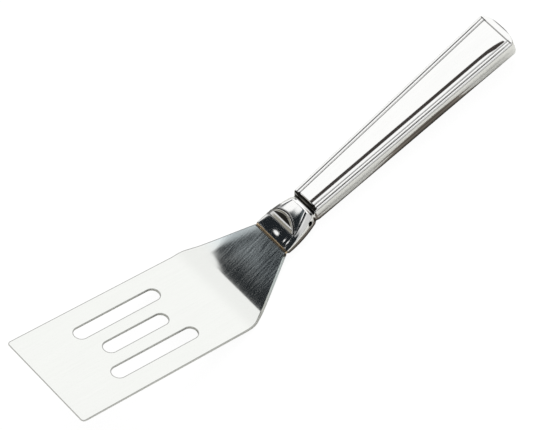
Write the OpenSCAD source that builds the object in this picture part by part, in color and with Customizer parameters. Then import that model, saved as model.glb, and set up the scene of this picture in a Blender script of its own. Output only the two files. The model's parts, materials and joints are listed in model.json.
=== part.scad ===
// Slotted brownie spatula with an offset blade and a hollow handle.
// The pieces are drawn with the blade flat in the XY plane, its front edge at x = 0 and
// the handle rising towards +X. rest() then lays them down as they lie on a table, on
// the heel and the underside of the handle, with the front of the blade raised.

/* [Blade] */
// Width of the blade at its front edge
blade_front_w = 51; // [46:0.5:60]
// Width of the blade at its shoulders
blade_heel_w = 49.6; // [45:0.2:58]
// Length from the front edge to the shoulders, where the heel is bent
blade_l = 90.2; // [84:0.2:110]
// Thickness of the steel behind the bevel of the front edge
front_t = 0.8; // [0.6:0.05:1]
// Thickness of the steel at the heel
heel_t = 1.1; // [1:0.05:1.8]
// Thickness of the ground front edge
edge_t = 0.4; // [0.2:0.05:0.6]
// Length of the bevel ground under the front edge
bevel_l = 2.5; // [1:0.5:5]
// Radius of the two front corners
front_r = 1.5; // [0.5:0.1:5]
// Radius of the two shoulder corners
shoulder_r = 9; // [3:0.5:14]

/* [Slots] */
// Width of each slot
slot_w = 6.6; // [4.6:0.1:9]
// Distance between the centre lines of two slots
slot_pitch = 12.7; // [10:0.1:15]
// Length of the two outer slots
long_slot_l = 43.6; // [30:0.2:56]
// Length of the middle slot
short_slot_l = 32.6; // [20:0.2:50]
// Distance from the front edge to the middle of the slots
slot_mid_x = 47; // [36:0.5:52]

/* [Root and tang] */
// Angle at which the root rises from the blade
root_rise = 30; // [20:0.5:36]
// Radius of the heel bend on the upper face
bend_r = 22; // [12:1:30]
// Length of the sloping shoulders, along the blade
shoulder_l = 26.1; // [22:0.1:34]
// Width of the root
root_w = 19.4; // [18:0.1:22]
// Thickness of the root
root_t = 2.6; // [2:0.1:3]
// Length behind the heel bend over which the steel thickens to the root
thicken_l = 6; // [3:0.5:12]
// Width of the tang
tang_w = 9; // [6:0.5:11]
// Thickness of the tang
tang_t = 1.8; // [1.2:0.1:2]
// Length of the tang inside the handle
tang_l = 17; // [10:0.5:24]

/* [Seam bead] */
// Length of the brazed bead between the root and the handle
bead_l = 1; // [0.6:0.1:1.6]
// Height by which the bead stands above the root
bead_rise = 0.55; // [0.2:0.05:0.8]

/* [Neck] */
// Width of the mouth of the handle
mouth_w = 20.2; // [19:0.1:25]
// Height from the seam to the front face at the mouth
mouth_front_h = 2.3; // [2:0.1:3]
// Height from the seam to the back face at the mouth
mouth_back_h = 2.3; // [2:0.1:3]
// Length of the neck, from the mouth to the shoulder of the handle
neck_l = 20; // [17:0.5:26]
// Width of the neck at its collar
collar_w = 15; // [12:0.1:17]
// Height from the seam to the front face at the collar
collar_front_h = 4.3; // [3.6:0.1:5]
// Height from the seam to the back face at the collar
collar_back_h = 5.7; // [4:0.1:6.4]
// Distance from the collar to the shoulder of the handle
cove_l = 3.2; // [2.4:0.1:5]
// Depth of the cove between the collar and the handle
cove_depth = 0.55; // [0.3:0.05:0.9]

/* [Handle] */
// Angle at which the handle rises from the blade
handle_rise = 25; // [18:0.5:32]
// Length of the handle from its shoulder to the butt
handle_l = 111; // [95:0.5:125]
// Width of the handle at its shoulder
shoulder_w = 14.6; // [13:0.1:17]
// Width of the handle at the butt
butt_w = 20.6; // [18:0.1:24]
// Height from the seam to the front border at the shoulder
shoulder_front_h = 4.2; // [3.6:0.1:5]
// Height from the seam to the front border at the butt
butt_front_h = 4.2; // [3.6:0.1:5]
// Height from the seam to the back face at the shoulder
shoulder_back_h = 5.6; // [4.6:0.1:7]
// Height from the seam to the back face at the butt
butt_back_h = 6.8; // [5.5:0.1:8]
// Length of the rounded end beyond the last groove
butt_bow = 3; // [1.6:0.1:4]
// Length over which the corners of the butt round off
butt_round = 3.6; // [2.8:0.1:6]
// Thickness of the stamped sheet
sheet_t = 0.7; // [0.5:0.05:0.9]

/* [Panel] */
// Distance from the edge of the handle to the outer groove of its border
outer_groove = 1.35; // [1.1:0.05:1.6]
// Distance from the edge of the handle to the inner groove of its border
inner_groove = 2.75; // [2.5:0.05:3.1]
// Depth of the grooves
groove_depth = 0.35; // [0.2:0.05:0.45]
// Half of the width of each groove
groove_reach = 0.45; // [0.3:0.05:0.55]
// Height of the cushioned panel above its border
panel_crown = 0.35; // [0.1:0.05:0.6]
// Width over which the edge of the panel rounds over
crown_run = 3.4; // [2:0.1:4.5]
// Radius of the edges of the front face
edge_r = 0.6; // [0.4:0.05:0.9]

/* [Neck mark] */
// Width of the raised D on the front of the neck
mark_w = 14.4; // [9:0.1:15]
// Length of the raised D along the neck
mark_l = 4.6; // [4:0.1:7]
// Distance from the mouth to the straight side of the D
mark_start = 6.3; // [5:0.1:9]
// Width of the straight rim of the D
mark_bar = 1.6; // [0.8:0.1:2]
// Width of the curved rim of the D
mark_rim = 0.9; // [0.4:0.1:1.2]
// Height of the rims above the neck
mark_h = 0.2; // [0.15:0.05:0.35]

/* [Vent] */
// Diameter of the vent hole through the seam in the side of the neck
vent_d = 2.2; // [1:0.1:2.4]
// Distance from the mouth to the vent hole
vent_start = 15; // [12:0.1:18]

/* [Hidden] */

arc_steps = 12;      // straight pieces in each rounded corner
bend_steps = 16;     // straight pieces in the heel bend
eps = 0.01;          // overlap of a cut with what it opens
margin = 5;          // reach of a cutting body past the solid
side_bulge = 0.15;   // swelling of the sides between seam and border
width_bow = 2.2;     // how late the neck narrows
front_bow = 1.7;     // how late its front face rises
back_bow = 0.45;     // how early its back face drops
back_dip = 0.1;      // depth of the cove on the back
butt_power = 2.2;    // squareness of the butt in plan
back_edge_r = 2;     // rounding of the butt into the back
back_power = 3.4;    // squareness of the back of the handle
neck_power = 4;      // squareness of the neck

// The blade is cut flat and then bent: s runs along the upper face of the flat blank
bend_x = blade_l - bend_r * tan(root_rise / 2);
bend_l = bend_r * root_rise * PI / 180;
heel_s = bend_x + bend_l / 2;
root_s = bend_x + bend_l + shoulder_l / cos(root_rise) - bend_r * tan(root_rise / 2);
along_root = [cos(root_rise), sin(root_rise)];
below_root = [sin(root_rise), -cos(root_rise)];
root_top = [blade_l + shoulder_l, shoulder_l * tan(root_rise)];
root_mid = root_top + below_root * root_t / 2;
mouth_mid = root_mid + along_root * bead_l;

// The spine of the handle runs in the seam plane from the mouth to the butt
spine_l = neck_l + handle_l;
collar_u = neck_l - cove_l;
cove_u = neck_l - cove_l / 2;
panel_start = neck_l + groove_reach;
panel_end = spine_l - butt_bow;
turn = root_rise - handle_rise;

function smooth(t) = t <= 0 ? 0 : t >= 1 ? 1 : t * t * (3 - 2 * t);
function mix(a, b, t) = a + (b - a) * t;
function share(u, a, b) = min(1, max(0, (u - a) / (b - a)));

// Slope of the spine at the distance u from the mouth: the neck turns, the handle is straight
function slope(u) = root_rise - turn * share(u, 0, neck_l);
function spine(u) =
    turn == 0 ? mouth_mid + u * along_root
    : mouth_mid + min(0, u) * along_root
      + neck_l / (turn * PI / 180)
        * [sin(root_rise) - sin(slope(u)), cos(slope(u)) - cos(root_rise)]
      + max(0, u - neck_l) * [cos(handle_rise), sin(handle_rise)];

// A size that runs from the mouth to the collar, dips in the cove and grows to the butt
function run(u, mouth, collar, shoulder, butt, bow, dip) =
    let (low = min(collar, shoulder) - dip)
    u < collar_u ? mix(mouth, collar, pow(share(u, 0, collar_u), bow))
    : u < cove_u ? mix(collar, low, smooth(share(u, collar_u, cove_u)))
    : u < neck_l ? mix(low, shoulder, smooth(share(u, cove_u, neck_l)))
    : mix(shoulder, butt, share(u, neck_l, panel_end));

// Bow of the butt: the width closes along a squarish ellipse, the faces round over
function butt_close(u) =
    pow(1 - pow(share(u, spine_l - butt_round, spine_l), butt_power), 1 / butt_power);
function butt_drop(u, r) = r - sqrt(max(0, r * r - pow(max(0, u - spine_l + r), 2)));

function half_w(u) =
    butt_close(u) * run(u, mouth_w / 2, collar_w / 2, shoulder_w / 2, butt_w / 2,
                        width_bow, cove_depth);
function front_h(u) =
    run(u, mouth_front_h, collar_front_h, shoulder_front_h, butt_front_h,
        front_bow, cove_depth) - butt_drop(u, edge_r);
function back_h(u) =
    run(u, mouth_back_h, collar_back_h, shoulder_back_h, butt_back_h,
        back_bow, back_dip) - butt_drop(u, back_edge_r);

// Relief of the framed panel: two grooves along each side, one across each end
function groove(d) = abs(d) < groove_reach ? -groove_depth * (1 + cos(180 * d / groove_reach)) / 2 : 0;
function crown(d) = panel_crown * (1 - pow(1 - share(d, 0, crown_run), 2));
function panel_in(d, u) = min(d - inner_groove, u - panel_start, panel_end - u);
function relief(d, u) =
    u < neck_l ? 0
    : u > panel_end ? groove(u - panel_end)
    : d < inner_groove ? groove(d - outer_groove) + groove(d - inner_groove)
    : groove(panel_in(d, u)) + crown(panel_in(d, u));

// Distances from the edge at which the front section has its points
border_d = [
    edge_r, (edge_r + outer_groove) / 2,
    outer_groove - groove_reach / 2, outer_groove, outer_groove + groove_reach / 2,
    (outer_groove + inner_groove) / 2,
    inner_groove - groove_reach / 2, inner_groove, inner_groove + groove_reach / 2
];
last_border = border_d[len(border_d) - 1];
panel_parts = 5;
front_steps = len(border_d) + panel_parts + 5;

// Front section of the handle, one half: [distance from the middle, height above the seam]
function handle_half(u, w, h) = [
    for (i = [0 : 2]) [w + side_bulge * sin(i * 60), (h - edge_r) * i / 3],
    for (i = [0 : 1]) [w - edge_r * (1 - cos(i * 45)), h - edge_r * (1 - sin(i * 45))],
    for (d = border_d) [w - d, h + relief(d, u)],
    for (i = [1 : panel_parts])
        let (d = mix(last_border, w, i / panel_parts)) [w - d, h + relief(d, u)]
];

// The same number of points on a plain rounded section
function plain_half(w, h, power) = [
    for (i = [0 : front_steps - 1])
        let (a = 90 * i / (front_steps - 1))
        [w * pow(max(0, cos(a)), 2 / power), h * pow(sin(a), 2 / power)]
];

// How much of the section is handle: none on the neck
function handle_share(u) = smooth(share(u, cove_u, neck_l));

function front_half(u, inset) =
    let (w = half_w(u) - inset, h = front_h(u) - inset, k = handle_share(u))
    inset > 0 ? plain_half(w, h, mix(neck_power, back_power, k))
    : let (plain = plain_half(w, h, neck_power),
           full_w = max(w, last_border + 1),
           full = handle_half(u, full_w, h))
      [for (i = [0 : front_steps - 1])
          mix(plain[i], [full[i][0] * w / full_w, full[i][1]], k)];

function back_half(u, inset) =
    let (w = max(half_w(u) - inset, eps), h = back_h(u) - inset,
         power = mix(neck_power, back_power, smooth(share(u, collar_u, neck_l))))
    [for (p = plain_half(w, h, power)) [p[0], -p[1]]];

// A half section mirrored to a full one, in order from one edge to the other
function both_sides(half) = concat(
    half, [for (i = [len(half) - 2 : -1 : 0]) [-half[i][0], half[i][1]]]);

// A section point [across, up] put on the spine at the distance u
function on_spine(u, p) =
    let (s = spine(u), a = slope(u))
    [s[0] - p[1] * sin(a), p[0], s[1] + p[1] * cos(a)];

// Solid through a list of rings with the same number of points
module loft(rings) {
    m = len(rings[0]);
    last = len(rings) - 1;
    polyhedron(
        points = [for (ring = rings) each ring],
        faces = concat(
            [[for (j = [0 : m - 1]) j]],
            [for (i = [0 : last - 1], j = [0 : m - 1])
                each [[i * m + j, (i + 1) * m + j, (i + 1) * m + (j + 1) % m],
                      [i * m + j, (i + 1) * m + (j + 1) % m, i * m + (j + 1) % m]]],
            [[for (j = [m - 1 : -1 : 0]) last * m + j]]),
        convexity = 6);
}

// Places along the spine at which a shell has its sections
neck_stations = [for (i = [0 : 11]) collar_u * i / 11];
cove_stations = [for (i = [1 : 8]) mix(collar_u, neck_l, i / 8)];
end_reach = [for (k = [0.5, 1, 1.6, 2.6, 4]) k * groove_reach];
start_stations = [for (d = end_reach) panel_start + d];
stop_stations = [for (i = [len(end_reach) - 1 : -1 : 0]) panel_end - end_reach[i]];
middle_stations = [
    for (i = [1 : 5])
        mix(start_stations[len(start_stations) - 1], stop_stations[0], i / 6)];
butt_stations = [for (k = [0, 0.09, 0.18, 0.35, 0.55, 0.72, 0.86, 0.95, 0.99])
    mix(panel_end, spine_l, k)];
stations = concat(neck_stations, cove_stations, start_stations, middle_stations,
                  stop_stations, butt_stations);
hollow_stations = concat(
    [-eps], [for (i = [1 : 5]) collar_u * i / 5],
    [cove_u, neck_l, panel_start + margin, panel_end - margin],
    [for (k = [0, 0.4, 0.7, 0.9]) mix(panel_end, spine_l, k) - sheet_t]);

module front_loft(list, inset, base) {
    loft([for (u = list) [
        for (p = concat(both_sides(front_half(u, inset)),
                        base == 0 ? [] : [[-half_w(u) + inset, -base], [half_w(u) - inset, -base]]))
            on_spine(u, p)]]);
}

module back_loft(list, inset, base) {
    loft([for (u = list) [
        for (p = concat([for (q = both_sides(back_half(u, inset))) [-q[0], q[1]]],
                        base == 0 ? [] : [[half_w(u) - inset, base], [-half_w(u) + inset, base]]))
            on_spine(u, p)]]);
}

// A frame at the distance u on the spine: x along it, y across, z towards the front
module at_spine(u, up) {
    p = on_spine(u, [0, up]);
    translate(p) rotate([0, -slope(u), 0]) children();
}

// The bent part of the blade: slope, thickness and a point at the depth d under its face
function bend_slope(s) = root_rise * share(s, bend_x, bend_x + bend_l);
function steel_t(s) = mix(heel_t, root_t, smooth(share(s, bend_x, bend_x + bend_l + thicken_l)));
function on_blade(s, d) =
    let (a = bend_slope(s))
    [bend_x + bend_r * sin(a), bend_r * (1 - cos(a))]
    + max(0, s - bend_x - bend_l) * along_root + d * [sin(a), -cos(a)];
bend_stations = concat(
    [for (i = [0 : bend_steps]) bend_x + bend_l * i / bend_steps],
    [for (i = [1 : 4]) bend_x + bend_l + thicken_l * i / 4], [root_s]);

// Everything laid down as it rests, on the heel and the underside of the handle
heel_points = [for (s = bend_stations) on_blade(s, steel_t(s))];
function tilt_to(p) = max([for (h = heel_points) atan2(p[1] - h[1], p[0] - h[0])]);
function under(u) = let (q = on_spine(u, [0, -back_h(u)])) [q[0], q[2]];
rest_tilt = min([for (u = stations) if (u <= panel_end) tilt_to(under(u))]);
function laid(p) = [p[0] * cos(rest_tilt) + p[1] * sin(rest_tilt),
                    -p[0] * sin(rest_tilt) + p[1] * cos(rest_tilt)];
front_x = laid([0, -edge_t])[0];
butt_x = max([for (u = butt_stations) for (h = [front_h(u), -back_h(u)])
    laid([for (k = [0, 2]) on_spine(u, [0, h])[k]])[0]]);
table_z = min([for (h = heel_points) laid(h)[1]]);

module rest() {
    translate([-(front_x + butt_x) / 2, 0, -table_z])
        rotate([0, rest_tilt, 0]) children();
}

// Two rising lists merged into one, without values that lie closer than eps
function merged(a, b) = let (all = sorted(concat(a, b)))
    [for (i = [0 : len(all) - 1]) if (i == 0 || all[i] - all[i - 1] > eps) all[i]];
function sorted(v) = len(v) < 2 ? v
    : let (pivot = v[floor(len(v) / 2)])
      concat(sorted([for (x = v) if (x < pivot) x]), [for (x = v) if (x == pivot) x],
             sorted([for (x = v) if (x > pivot) x]));

// Points of the arc that rounds corner b of the path a, b, c
function rounded(a, b, c, r) =
    let (u = (a - b) / norm(a - b), v = (c - b) / norm(c - b),
         half = acos(u * v) / 2,
         m = b + (u + v) / norm(u + v) * r / sin(half),
         from = b + u * r / tan(half), to = b + v * r / tan(half),
         a0 = atan2(from[1] - m[1], from[0] - m[0]),
         a1 = atan2(to[1] - m[1], to[0] - m[0]),
         sweep = (a1 - a0 + 540) % 360 - 180)
    [for (i = [0 : arc_steps]) m + r * [cos(a0 + sweep * i / arc_steps),
                                        sin(a0 + sweep * i / arc_steps)]];

// Half of the outline of the blank, from the middle of the front edge to the root
heel_corner = [heel_s, blade_heel_w / 2];
blank_half = concat(
    [[0, 0]], rounded([0, 0], [0, blade_front_w / 2], heel_corner, front_r),
    rounded([0, blade_front_w / 2], heel_corner, [root_s, root_w / 2], shoulder_r),
    [[root_s, root_w / 2]]);
function blank_w(s) = lookup(s, [for (i = [arc_steps + 1 : len(blank_half) - 1]) blank_half[i]]);

module blade_outline() {
    half = concat([for (p = blank_half) if (p[0] < bend_x) p], [[bend_x, blank_w(bend_x)]]);
    polygon(concat(half, [for (i = [len(half) - 1 : -1 : 1]) [half[i][0], -half[i][1]]]));
}

module slot(length) {
    square([length - slot_w, slot_w], center = true);
    for (side = [-1, 1])
        translate([side * (length - slot_w) / 2, 0]) circle(d = slot_w, $fn = 48);
}

// Side profile of the flat part: bevelled at the front, thickening to the heel
module flat_profile() {
    polygon([[0, 0], [bend_x, 0], [bend_x, -heel_t], [bevel_l, -front_t], [0, -edge_t]]);
}

module tang_solid(grow) {
    at_mouth = bead_l + tang_l;
    translate([root_mid[0], 0, root_mid[1]]) rotate([0, -root_rise, 0])
        translate([0, 0, -tang_t / 2]) linear_extrude(tang_t) union() {
            translate([-grow, -tang_w / 2]) square([at_mouth + grow - tang_w / 2, tang_w]);
            translate([at_mouth - tang_w / 2, 0]) circle(d = tang_w, $fn = 48);
        }
}

module flat_blade() {
    intersection() {
        translate([0, 0, -margin]) linear_extrude(2 * margin) difference() {
            blade_outline();
            for (side = [-1, 1])
                translate([slot_mid_x, side * slot_pitch]) slot(long_slot_l);
            translate([slot_mid_x, 0]) slot(short_slot_l);
        }
        rotate([90, 0, 0]) translate([0, 0, -blade_front_w])
            linear_extrude(2 * blade_front_w) flat_profile();
    }
}

// The heel and the root: a strip of the blank bent up, its edges square to its faces
module bent_blade() {
    corner_stations = [for (p = blank_half) if (p[0] > bend_x + eps && p[0] < root_s - eps) p[0]];
    loft([for (s = merged(bend_stations, corner_stations))
        let (w = blank_w(s), top = on_blade(s, 0), low = on_blade(s, steel_t(s)))
        [[top[0], w, top[1]], [top[0], -w, top[1]], [low[0], -w, low[1]], [low[0], w, low[1]]]]);
}

module blade() {
    color([0.86, 0.87, 0.87]) rest() {
        flat_blade();
        bent_blade();
        tang_solid(eps);
    }
}

// The bead swells from just above the root to just inside the edge of the mouth
module brazed_bead() {
    rise_of = [0, 0.55, 0.85, 1];
    color([0.72, 0.56, 0.3]) rest() difference() {
        loft([for (i = [0 : 3])
            let (u = -bead_l * (1 - i / 3),
                 w = mix(root_w / 2, mouth_w / 2 - bead_rise / 3, rise_of[i]),
                 h = mix(root_t / 2, root_t / 2 + bead_rise, rise_of[i]),
                 s = mouth_mid + u * along_root,
                 half = plain_half(w, h, neck_power))
            [for (p = concat(both_sides(half),
                             [for (k = [1 : front_steps - 1]) [-half[k][0], -half[k][1]]],
                             [for (k = [front_steps - 2 : -1 : 1]) [half[k][0], -half[k][1]]]))
                [s[0] - p[1] * sin(root_rise), p[0], s[1] + p[1] * cos(root_rise)]]]);
        tang_solid(margin);
    }
}

// The raised D: a straight rim across the neck and a curved one behind it
module mark_outline() {
    mark_r = (pow(mark_w / 2, 2) + pow(mark_l, 2)) / (2 * mark_l);
    difference() {
        intersection() {
            translate([mark_l - mark_r, 0]) circle(r = mark_r, $fn = 72);
            translate([0, -mark_w]) square([2 * mark_l, 2 * mark_w]);
        }
        intersection() {
            translate([mark_l - mark_r, 0]) circle(r = mark_r - mark_rim, $fn = 72);
            translate([mark_bar, -mark_w]) square([2 * mark_l, 2 * mark_w]);
        }
    }
}

// The vent is drilled into one side of the neck, half into each half of the handle
module vent_hole() {
    at_spine(vent_start, 0) rotate([90, 0, 0]) cylinder(d = vent_d, h = butt_w, $fn = 24);
}

module handle_front() {
    color([0.9, 0.9, 0.89]) rest() difference() {
        union() {
            front_loft(stations, 0, 0);
            intersection() {
                front_loft([for (u = neck_stations) if (u > mark_start - margin) u], -mark_h, 0);
                at_spine(mark_start, 0) translate([0, 0, eps])
                    linear_extrude(2 * collar_front_h) mark_outline();
            }
        }
        front_loft(hollow_stations, sheet_t, eps);
        vent_hole();
    }
}

module handle_back() {
    color([0.88, 0.88, 0.87]) rest() difference() {
        back_loft(stations, 0, 0);
        back_loft(hollow_stations, sheet_t, eps);
        vent_hole();
    }
}

blade();
brazed_bead();
handle_front();
handle_back();
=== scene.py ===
"""Slotted brownie spatula: fine meshes, metal finishes and a plain white studio around the frame.

Sizes are in millimetres. The pieces are shaped with the blade flat in the XY plane, its front
edge at x = 0 and the handle rising towards +X, and Lay then puts them down on the table.
"""
import json
import logging
import math
from dataclasses import dataclass
from enum import Enum
from typing import Any, Callable, Sequence

import bmesh
import bpy
from mathutils import Euler, Matrix, Vector


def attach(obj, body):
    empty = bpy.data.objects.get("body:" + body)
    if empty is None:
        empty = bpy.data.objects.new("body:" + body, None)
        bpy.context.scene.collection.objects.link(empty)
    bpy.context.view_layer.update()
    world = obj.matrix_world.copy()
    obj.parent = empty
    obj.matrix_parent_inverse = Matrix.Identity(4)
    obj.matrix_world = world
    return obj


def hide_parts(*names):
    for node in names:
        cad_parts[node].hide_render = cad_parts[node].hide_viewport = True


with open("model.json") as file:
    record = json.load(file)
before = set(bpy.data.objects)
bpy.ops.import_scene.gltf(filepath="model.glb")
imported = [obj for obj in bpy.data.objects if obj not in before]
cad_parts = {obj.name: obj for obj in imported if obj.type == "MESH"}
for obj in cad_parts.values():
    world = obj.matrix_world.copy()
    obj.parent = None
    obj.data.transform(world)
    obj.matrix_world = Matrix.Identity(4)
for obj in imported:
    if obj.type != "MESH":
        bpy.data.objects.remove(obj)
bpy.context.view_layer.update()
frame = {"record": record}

log = logging.getLogger("spatula")

MM = 0.001
MOUNT_X = 14.0  # distance from the front edge to the point that the blade's mount names
WHITE = (1, 1, 1, 1)
DULL_SHARE = 0.6  # how far along the root it has turned fully dull
PAINTED_SHADE = "painted_shade"  # the attribute that carries painted shade on the metal (in grooves, hollows, joints and along cut edges) and the tone of the painted table shadow
SIDE_T = 3.0  # on a half section of the handle, the place t where its side ends
EDGE_T = 5.0  # the place t where the rounded edge ends and the face starts
T_END = 18.0  # the place t of the middle of the face


def mix(start: float, end: float, share_of: float) -> float:
    """Returns the value at a share of the way from start to end."""
    return start + (end - start) * share_of


def share(value: float, start: float, end: float) -> float:
    """Returns how far value lies between start and end, kept within 0 and 1."""
    return min(1.0, max(0.0, (value - start) / (end - start)))


def ease(t: float) -> float:
    """Returns t with a soft start and a soft end, for t within 0 and 1."""
    return t * t * (3 - 2 * t)


def two_arcs(t: float) -> float:
    """Returns t led over two equal parabolic arcs, for t within 0 and 1."""
    return 2 * t * t if t < 0.5 else 1 - 2 * (1 - t) ** 2


def band(value: float, start: float, full: float, fade: float, end: float) -> float:
    """Returns how strong a band is at value: it grows from start to full and fades out until end."""
    return share(value, start, full) * (1 - share(value, fade, end))


def fold(t: float) -> tuple[int, float]:
    """Returns the side, 1 or -1, of a place over a face of the handle, and its t on the half section."""
    return (1, t) if t <= T_END else (-1, 2 * T_END - t)


def spread(start: float, end: float, steps: int) -> list[float]:
    """Returns steps + 1 evenly spaced values.

    Args:
        start: The first value.
        end: The last value.
        steps: How many equal steps lie between them.

    Returns:
        The values in order.
    """
    return [mix(start, end, i / steps) for i in range(steps + 1)]


@dataclass(frozen=True)
class Lay:
    """How the pieces lie on the table."""

    tilt: float
    shift: Vector

    @classmethod
    def from_record(cls, record: dict[str, Any]) -> "Lay":
        """Reads the lay from the mount on the blade's upper face.

        Args:
            record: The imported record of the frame.

        Returns:
            The lay whose tilt and shift put the mount's point where the record has it.
        """
        mount = next(m for m in record["mounts"] if m["name"] == "blade_top")
        tilt = math.atan2(mount["axis"][0], mount["axis"][2])
        turned = Matrix.Rotation(tilt, 3, "Y") @ Vector((MOUNT_X, 0, 0))
        return cls(tilt, Vector(mount["pos_m"]) / MM - turned)

    def down(self, point: Vector) -> Vector:
        """Returns a point given in millimetres as it lies in the frame, in metres."""
        return (Matrix.Rotation(self.tilt, 3, "Y") @ point + self.shift) * MM


def skin(rows: Sequence[Any], columns: Sequence[Any], place: Callable[[Any, Any], Vector],
         shade_at: Callable[[Any, Any], float] | None = None) -> bmesh.types.BMesh:
    """Lays a grid over a surface given by a formula.

    Args:
        rows: The values along the first direction.
        columns: The values along the second direction.
        place: Returns the point for a row value and a column value.
        shade_at: Returns how much painted shade sits there, from 0 to 1.

    Returns:
        A new bmesh whose coinciding vertices are merged, so that edges that meet close up.
    """
    bm = bmesh.new()
    bmesh.ops.create_grid(bm, x_segments=len(rows) - 1, y_segments=len(columns) - 1, size=0.5)
    layer = bm.verts.layers.float.new(PAINTED_SHADE)
    for vert in bm.verts:
        row = rows[round((vert.co.x + 0.5) * (len(rows) - 1))]
        column = columns[round((vert.co.y + 0.5) * (len(columns) - 1))]
        vert.co = place(row, column)
        vert[layer] = shade_at(row, column) if shade_at else 0.0
    bmesh.ops.remove_doubles(bm, verts=bm.verts, dist=1e-5)
    bmesh.ops.dissolve_degenerate(bm, edges=bm.edges, dist=1e-5)
    bmesh.ops.recalc_face_normals(bm, faces=bm.faces)
    return bm


def make_piece(name: str, bm: bmesh.types.BMesh, lay: Lay, sharp_deg: float) -> bpy.types.Object:
    """Turns a bmesh in millimetres into a smooth piece that lies in the frame.

    Args:
        name: The name of the new object.
        bm: The shape, which is freed.
        lay: How the piece lies.
        sharp_deg: The angle above which an edge stays sharp.

    Returns:
        The new object, at the origin.
    """
    for vert in bm.verts:
        vert.co = lay.down(vert.co)
    mesh = bpy.data.meshes.new(name)
    bm.to_mesh(mesh)
    bm.free()
    mesh.shade_smooth()
    mesh.set_sharp_from_angle(angle=math.radians(sharp_deg))
    piece = bpy.data.objects.new(name, mesh)
    bpy.context.scene.collection.objects.link(piece)
    return piece


class Value:
    """A shader socket on which arithmetic adds Math nodes."""

    def __init__(self, graph: "Graph", socket: bpy.types.NodeSocket) -> None:
        """Keeps the socket and the graph that it belongs to."""
        self.graph = graph
        self.socket = socket

    def _math(self, operation: str, *terms: Any) -> "Value":
        """Adds a Math node on the terms, which are values or numbers."""
        node = self.graph.add("ShaderNodeMath", {"operation": operation}, dict(enumerate(terms)))
        return Value(self.graph, node.outputs[0])

    def __add__(self, other: Any) -> "Value":
        """Returns self + other."""
        return self._math("ADD", self, other)

    __radd__ = __add__

    def __sub__(self, other: Any) -> "Value":
        """Returns self - other."""
        return self._math("SUBTRACT", self, other)

    def __rsub__(self, other: Any) -> "Value":
        """Returns other - self."""
        return self._math("SUBTRACT", other, self)

    def __mul__(self, other: Any) -> "Value":
        """Returns self * other."""
        return self._math("MULTIPLY", self, other)

    __rmul__ = __mul__

    def __truediv__(self, other: Any) -> "Value":
        """Returns self / other."""
        return self._math("DIVIDE", self, other)

    def __pow__(self, other: Any) -> "Value":
        """Returns self raised to the power other."""
        return self._math("POWER", self, other)

    def larger(self, other: Any) -> "Value":
        """Returns the larger of self and other."""
        return self._math("MAXIMUM", self, other)

    def smaller(self, other: Any) -> "Value":
        """Returns the smaller of self and other."""
        return self._math("MINIMUM", self, other)

    def step(self, low: float, high: float) -> "Value":
        """Adds a soft step.

        Args:
            low: The value up to which it is 0.
            high: The value from which on it is 1.

        Returns:
            The step of this value.
        """
        settings = {"interpolation_type": "SMOOTHSTEP"}
        inputs = {"Value": self, "From Min": low, "From Max": high}
        node = self.graph.add("ShaderNodeMapRange", settings, inputs)
        return Value(self.graph, node.outputs["Result"])


class Graph:
    """A node tree that is filled through one method."""

    def __init__(self, tree: bpy.types.NodeTree) -> None:
        """Empties the tree and keeps it."""
        tree.nodes.clear()
        self.tree = tree

    def add(self, kind: str, settings: dict[str, Any] | None = None,
            inputs: dict[Any, Any] | None = None) -> bpy.types.Node:
        """Adds any node.

        Args:
            kind: The node's type.
            settings: Its properties, set first. The key "stops" fills a colour ramp.
            inputs: Its sockets by name or number, each with a value, a socket or a number.

        Returns:
            The new node.
        """
        node = self.tree.nodes.new(kind)
        for key, setting in (settings or {}).items():
            if key == "stops":
                self._fill_ramp(node.color_ramp, setting)
            else:
                setattr(node, key, setting)
        for key, given in (inputs or {}).items():
            source = given.socket if isinstance(given, Value) else given
            if isinstance(source, bpy.types.NodeSocket):
                self.tree.links.new(source, node.inputs[key])
            else:
                node.inputs[key].default_value = source
        return node

    @staticmethod
    def _fill_ramp(ramp: bpy.types.ColorRamp, stops: Sequence[tuple[float, Sequence[float]]]) -> None:
        """Gives a ramp its stops.

        Args:
            ramp: The colour ramp.
            stops: The stops in order, each a position and a colour.
        """
        while len(ramp.elements) < len(stops):
            ramp.elements.new(1.0)
        for element, (position, colour) in zip(ramp.elements, stops):
            element.position = position
            element.color = (*colour, 1.0)

    def value(self, kind: str, output: str, settings: dict[str, Any] | None = None,
              inputs: dict[Any, Any] | None = None) -> Value:
        """Adds a node and returns one of its outputs as a value."""
        return Value(self, self.add(kind, settings, inputs).outputs[output])

    def blend(self, factor: Any, first: Any, second: Any) -> bpy.types.NodeSocket:
        """Returns the colour that goes from first to second with the factor."""
        node = self.add("ShaderNodeMix", {"data_type": "RGBA"}, {0: factor, 6: first, 7: second})
        return node.outputs[2]

    def noise(self, coords: bpy.types.NodeSocket, stretch: Sequence[float], turn_deg: Sequence[float],
              detail: float = 3.0, rough: float = 0.5) -> Value:
        """Returns noise on stretched coordinates.

        Args:
            coords: The coordinates that the noise reads.
            stretch: The scale along each axis, in features per metre.
            turn_deg: The turn of the pattern about each axis.
            detail: How many finer layers the noise has.
            rough: The strength of the finer layers.

        Returns:
            The noise, about 0 to 1.
        """
        turn = [math.radians(angle) for angle in turn_deg]
        mapped = self.add("ShaderNodeMapping", {"vector_type": "TEXTURE"},
                          {"Vector": coords, "Rotation": turn, "Scale": [1 / k for k in stretch]})
        return self.value("ShaderNodeTexNoise", "Fac", {"noise_dimensions": "3D"},
                          {"Vector": mapped.outputs[0], "Scale": 1.0, "Detail": detail, "Roughness": rough})


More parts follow.
